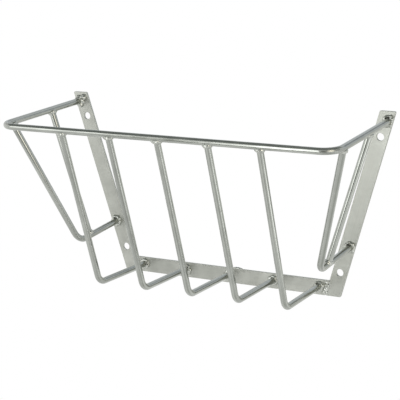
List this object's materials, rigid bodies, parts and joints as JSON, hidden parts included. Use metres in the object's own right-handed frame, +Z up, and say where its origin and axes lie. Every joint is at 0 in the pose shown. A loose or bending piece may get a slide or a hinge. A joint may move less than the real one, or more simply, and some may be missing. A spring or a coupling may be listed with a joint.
{
  "type": "hay rack",
  "caption": "Wall-mounted hay rack of welded round bar, with a U-shaped top rail, bent front and side bars, and flat-bar uprights with screw holes.",
  "frame": {"origin": "on the wall, at the middle of the cross bar's back face", "axes": "+X to the right of someone who faces the rack, along its length; +Y into the wall; +Z up"},
  "size_m": [0.5803, 0.2213, 0.3],
  "materials": {
    "rod_steel": "satin zinc plating on steel round bar",
    "flat_steel": "satin zinc plating on steel flat bar",
    "weld_metal": "zinc plated weld metal, lumpy and a little brighter on its crests"
  },
  "bodies": {
    "root": {"cross_bar": "flat_steel", "upright_left": "flat_steel", "upright_right": "flat_steel", "top_rail": "rod_steel", "front_bar_1": "rod_steel", "front_bar_2": "rod_steel", "front_bar_3": "rod_steel", "front_bar_4": "rod_steel", "front_bar_5": "rod_steel", "side_bar_left": "rod_steel", "side_bar_right": "rod_steel", "side_stay_left": "rod_steel", "side_stay_right": "rod_steel", "weld_cross_bar_left": "weld_metal", "weld_cross_bar_right": "weld_metal", "weld_cross_bar_top": "weld_metal", "weld_rail_end_left": "weld_metal", "weld_rail_end_right": "weld_metal", "weld_front_top_1": "weld_metal", "weld_front_top_2": "weld_metal", "weld_front_top_3": "weld_metal", "weld_front_top_4": "weld_metal", "weld_front_top_5": "weld_metal", "weld_front_foot_1": "weld_metal", "weld_front_foot_2": "weld_metal", "weld_front_foot_3": "weld_metal", "weld_front_foot_4": "weld_metal", "weld_front_foot_5": "weld_metal", "weld_side_top_left": "weld_metal", "weld_side_top_right": "weld_metal", "weld_side_foot_left": "weld_metal", "weld_side_foot_right": "weld_metal", "weld_stay_top_left": "weld_metal", "weld_stay_top_right": "weld_metal", "weld_stay_foot_left": "weld_metal", "weld_stay_foot_right": "weld_metal"}
  },
  "joints": []
}
